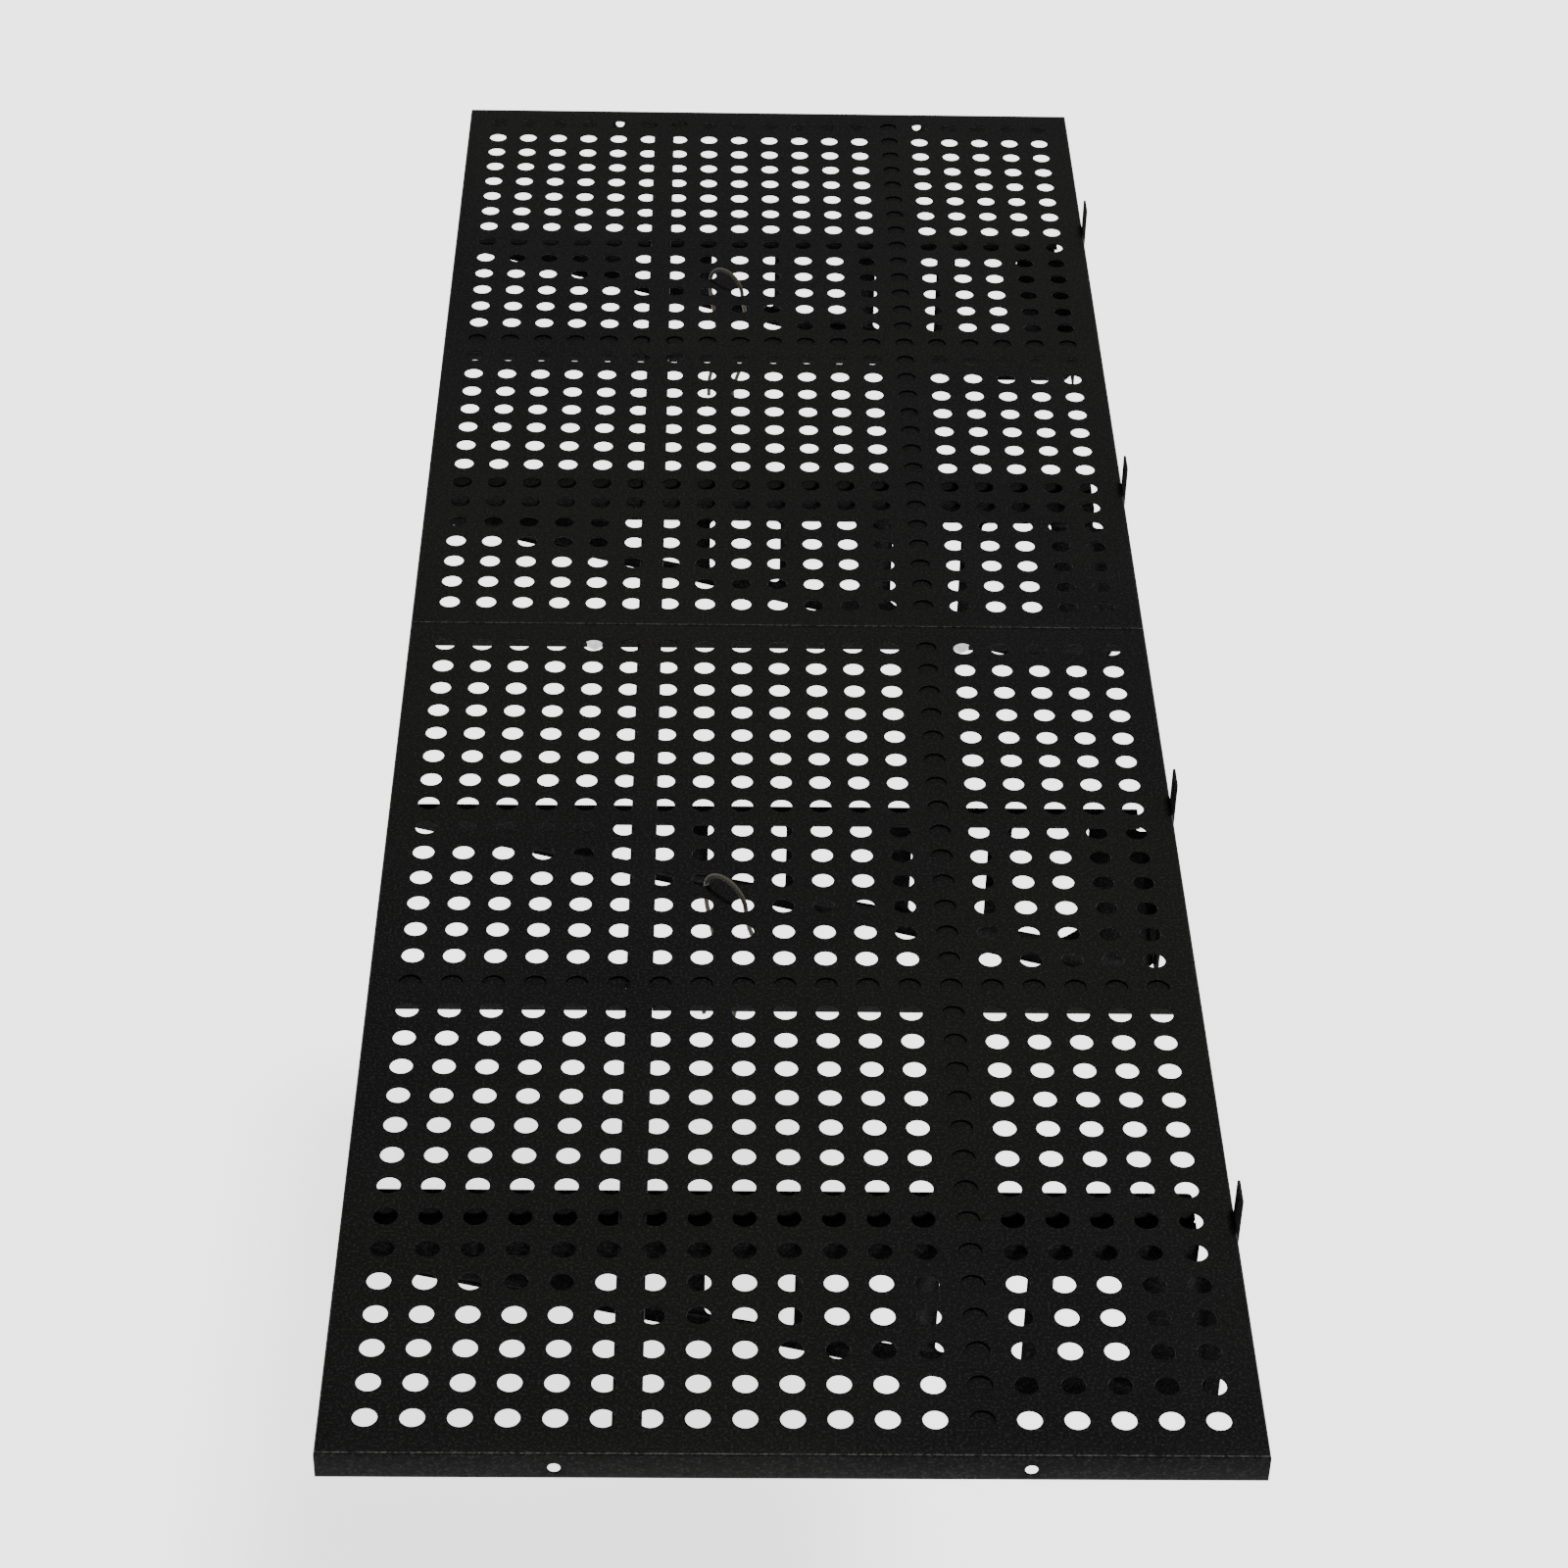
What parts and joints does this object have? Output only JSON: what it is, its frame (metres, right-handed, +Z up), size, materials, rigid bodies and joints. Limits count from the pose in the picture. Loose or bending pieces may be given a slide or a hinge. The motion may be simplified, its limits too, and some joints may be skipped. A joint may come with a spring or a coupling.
{
  "type": "perforated steel wall shelf",
  "caption": "Black perforated steel pegboard deck, panels bolted end to end on folded windowed brackets with wall ears, for hanging and laying out tools on a workshop wall.",
  "frame": {"origin": "on the wall face of one bracket of the near panel, at the height of the deck face", "axes": "+X towards the wall, +Y along the deck from the near panel to the far panel, +Z up out of the perforated face"},
  "size_m": [0.5018, 1.4997, 0.168],
  "materials": {
    "coat_panel": "black textured powder coat",
    "coat_bracket": "black fine-textured powder coat",
    "plated_steel": "zinc plated",
    "tie_cord": "braided brown cord"
  },
  "bodies": {
    "root": {"near_panel": "coat_panel", "near_stiffener_narrow": "coat_panel", "near_stiffener_broad": "coat_panel", "near_cross_channel_outer": "coat_panel", "near_cross_channel_middle": "coat_panel", "near_cross_channel_wall": "coat_panel", "near_cross_strap": "coat_panel", "near_bracket_a": "coat_bracket", "near_bracket_a_screw_outer": "plated_steel", "near_bracket_a_screw_wall": "plated_steel", "near_bracket_b": "coat_bracket", "near_bracket_b_screw_outer": "plated_steel", "near_bracket_b_screw_wall": "plated_steel", "near_tie": "tie_cord", "far_panel": "coat_panel", "far_stiffener_narrow": "coat_panel", "far_stiffener_broad": "coat_panel", "far_cross_channel_outer": "coat_panel", "far_cross_channel_middle": "coat_panel", "far_cross_channel_wall": "coat_panel", "far_cross_strap": "coat_panel", "far_bracket_a": "coat_bracket", "far_bracket_a_screw_outer": "plated_steel", "far_bracket_a_screw_wall": "plated_steel", "far_bracket_b": "coat_bracket", "far_bracket_b_screw_outer": "plated_steel", "far_bracket_b_screw_wall": "plated_steel", "far_tie": "tie_cord", "seam_washer_head_outer": "plated_steel", "seam_bolt_outer": "plated_steel", "seam_washer_nut_outer": "plated_steel", "seam_nut_outer": "plated_steel", "seam_washer_head_wall": "plated_steel", "seam_bolt_wall": "plated_steel", "seam_washer_nut_wall": "plated_steel", "seam_nut_wall": "plated_steel"}
  },
  "joints": []
}
